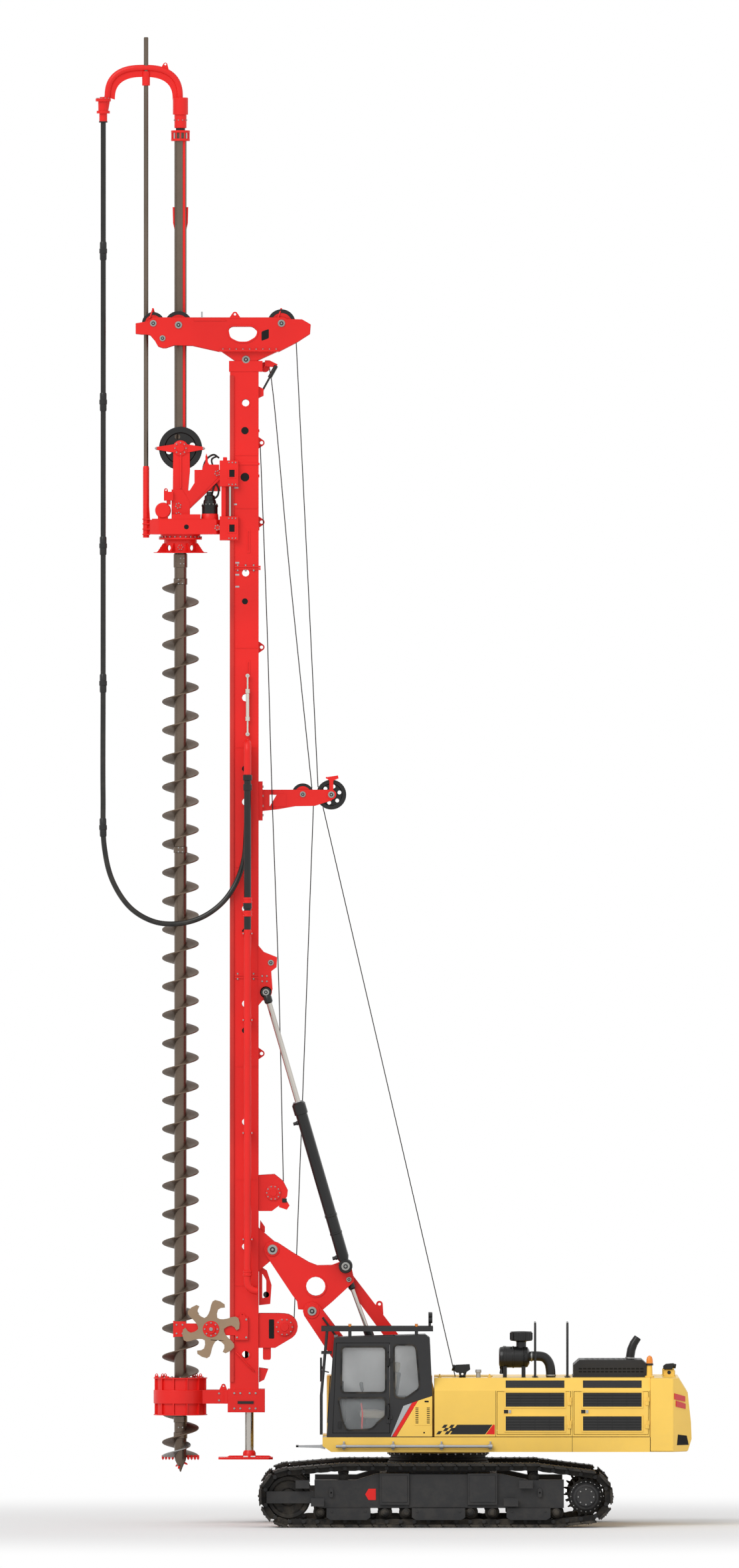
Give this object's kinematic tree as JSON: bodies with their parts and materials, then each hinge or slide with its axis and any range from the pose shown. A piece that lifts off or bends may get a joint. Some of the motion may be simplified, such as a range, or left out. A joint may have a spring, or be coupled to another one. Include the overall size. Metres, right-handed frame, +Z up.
{
  "type": "rotary piling rig",
  "caption": "Crawler-mounted rotary piling rig with a tall mast, a long continuous flight auger, a concrete line with gooseneck and hose, a slewing upper carriage and a cab.",
  "frame": {"origin": "on the ground under the middle of the whole machine", "axes": "+X to the rear (the mast stands at the -X end), +Y to the machine's right side, +Z up"},
  "size_m": [8.97, 4.35, 22.4],
  "materials": {
    "undercarriage_paint": "dark grey paint, slightly dusty",
    "track_steel": "dark cast steel shoes, worn on the grousers",
    "frame_paint": "dark grey paint",
    "yellow_paint": "warm yellow gloss paint",
    "cab_paint": "dark grey satin paint",
    "black_paint": "black satin paint",
    "red_paint": "bright red gloss paint",
    "chrome_rod": "hard chrome, mirror bright",
    "tool_steel": "bare brown-grey steel, soil stained",
    "sheave_steel": "grey cast sheaves with a bright groove",
    "wear_steel": "bare tan wear plate",
    "window_glass": "clear glass",
    "seat_cloth": "beige woven cloth over foam",
    "hose_rubber": "black reinforced rubber"
  },
  "bodies": {
    "undercarriage": {"carbody": "undercarriage_paint", "slew_ring": "undercarriage_paint", "track_frame_left": "undercarriage_paint", "track_frame_right": "undercarriage_paint", "track_left": "track_steel", "track_right": "track_steel"},
    "upper": {"upper_frame": "yellow_paint", "engine_housing": "yellow_paint", "engine_block": "frame_paint", "counterweight": "yellow_paint", "radiator_hood": "black_paint", "air_cleaner": "black_paint", "front_tank": "yellow_paint", "main_winch": "frame_paint", "cab": "cab_paint", "windscreen": "window_glass", "cab_guard": "cab_paint", "operator_seat": "seat_cloth", "control_console": "black_paint"},
    "service_door_front_left": {"service_door_front_left": "yellow_paint"},
    "service_door_rear_left": {"service_door_rear_left": "yellow_paint"},
    "service_door_front_right": {"service_door_front_right": "yellow_paint"},
    "service_door_rear_right": {"service_door_rear_right": "yellow_paint"},
    "cab_door": {"cab_door": "cab_paint", "door_glass": "window_glass"},
    "boom": {"boom_arm": "red_paint"},
    "link": {"boom_link": "red_paint"},
    "delta": {"delta_frame": "red_paint"},
    "luff_barrel": {"luff_barrels": "black_paint"},
    "luff_rod": {"luff_rod_left": "chrome_rod", "luff_rod_right": "chrome_rod"},
    "mast_barrel": {"mast_cylinder_left": "black_paint", "mast_cylinder_right": "black_paint"},
    "mast_rod": {"mast_rod_left": "chrome_rod", "mast_rod_right": "chrome_rod"},
    "mast": {"mast": "red_paint", "mast_head": "red_paint", "rear_sheave_arm": "red_paint", "upper_winch": "red_paint", "lower_winch": "red_paint", "concrete_pipe": "red_paint", "concrete_hose": "hose_rubber", "guide_ring": "red_paint", "cleaner_arm": "red_paint"},
    "rear_sheave": {"rear_sheave": "sheave_steel"},
    "cleaner_wheel": {"cleaner_wheel": "wear_steel"},
    "support_jack": {"support_jack": "chrome_rod"},
    "head": {"head_frame": "red_paint", "rotary_drive": "red_paint", "guide_pole": "tool_steel", "gooseneck": "red_paint"},
    "head_pulleys": {"head_pulley_left": "sheave_steel", "head_pulley_right": "sheave_steel"},
    "drill": {"auger": "tool_steel", "extension_tube": "tool_steel"}
  },
  "joints": [
    {"name": "slew", "type": "hinge", "parent": "undercarriage", "child": "upper", "pos_m": [0.678, 0, 1.085], "axis": [0, 0, 1], "continuous": true},
    {"name": "boom_luff", "type": "hinge", "parent": "upper", "child": "boom", "pos_m": [-0.08, 0, 1.705], "axis": [0, 1, 0], "range_deg": [-20, 12]},
    {"name": "delta_level", "type": "hinge", "parent": "boom", "child": "delta", "pos_m": [-1.22, 0, 3.215], "axis": [0, 1, 0], "range_deg": [-12.5, 20.5]},
    {"name": "link_swing", "type": "hinge", "parent": "upper", "child": "link", "pos_m": [0.475, 0, 2.18], "axis": [0, 1, 0], "range_deg": [-20.5, 12.5]},
    {"name": "luff_barrel_swing", "type": "hinge", "parent": "upper", "child": "luff_barrel", "pos_m": [0.137, 0, 1.5], "axis": [0, 1, 0], "range_deg": [-16.3, 9.9]},
    {"name": "luff_rod_slide", "type": "slide", "parent": "luff_barrel", "child": "luff_rod", "axis": [-0.3439, 0, 0.939], "range_m": [-0.206, 0.125]},
    {"name": "mast_tilt", "type": "hinge", "parent": "delta", "child": "mast", "pos_m": [-1.815, 0, 4.14], "axis": [0, 1, 0], "range_deg": [-5, 15]},
    {"name": "mast_barrel_swing", "type": "hinge", "parent": "delta", "child": "mast_barrel", "pos_m": [-0.715, 0, 3.89], "axis": [0, 1, 0], "range_deg": [-4.7, 13.6]},
    {"name": "mast_rod_slide", "type": "slide", "parent": "mast_barrel", "child": "mast_rod", "axis": [-0.2793, 0, 0.9602], "range_m": [-0.27, 0.092]},
    {"name": "rotary_head", "type": "slide", "parent": "mast", "child": "head", "axis": [0, 0, 1], "range_m": [-11.1, 0.9], "deforming": ["concrete_hose"]},
    {"name": "drill_spin", "type": "hinge", "parent": "head", "child": "drill", "pos_m": [-3.202, 0, 14.41], "axis": [0, 0, 1], "continuous": true},
    {"name": "head_pulley_spin", "type": "hinge", "parent": "head", "child": "head_pulleys", "pos_m": [-3.2, 0, 16.205], "axis": [0, 1, 0], "continuous": true},
    {"name": "rear_sheave_spin", "type": "hinge", "parent": "mast", "child": "rear_sheave", "pos_m": [-0.93, 0, 10.99], "axis": [0, 1, 0], "continuous": true},
    {"name": "cleaner_spin", "type": "hinge", "parent": "mast", "child": "cleaner_wheel", "pos_m": [-2.74, -0.339, 2.945], "axis": [0, 1, 0], "continuous": true},
    {"name": "jack_slide", "type": "slide", "parent": "mast", "child": "support_jack", "axis": [0, 0, 1], "range_m": [-0.97, 0.5]},
    {"name": "cab_door_swing", "type": "hinge", "parent": "upper", "child": "cab_door", "pos_m": [-0.053, -1.495, 2.08], "axis": [0, 0, 1], "range_deg": [0, 110]},
    {"name": "service_door_front_left_swing", "type": "hinge", "parent": "upper", "child": "service_door_front_left", "pos_m": [2.665, -1.495, 1.705], "axis": [0, 0, 1], "range_deg": [0, 100]},
    {"name": "service_door_rear_left_swing", "type": "hinge", "parent": "upper", "child": "service_door_rear_left", "pos_m": [3.83, -1.495, 1.705], "axis": [0, 0, 1], "range_deg": [0, 100]},
    {"name": "service_door_front_right_swing", "type": "hinge", "parent": "upper", "child": "service_door_front_right", "pos_m": [2.665, 1.495, 1.705], "axis": [0, 0, -1], "range_deg": [0, 100]},
    {"name": "service_door_rear_right_swing", "type": "hinge", "parent": "upper", "child": "service_door_rear_right", "pos_m": [3.83, 1.495, 1.705], "axis": [0, 0, -1], "range_deg": [0, 100]}
  ],
  "couplings": [
    {"joint": "delta_level", "follows": "boom_luff", "ratio": -1},
    {"joint": "link_swing", "follows": "boom_luff", "ratio": 1},
    {"joint": "luff_barrel_swing", "follows": "boom_luff", "ratio": 0.7883},
    {"joint": "luff_rod_slide", "follows": "boom_luff", "m_per_rad": 0.5751},
    {"joint": "mast_barrel_swing", "follows": "mast_tilt", "ratio": 0.8894},
    {"joint": "mast_rod_slide", "follows": "mast_tilt", "m_per_rad": -1.0218}
  ]
}
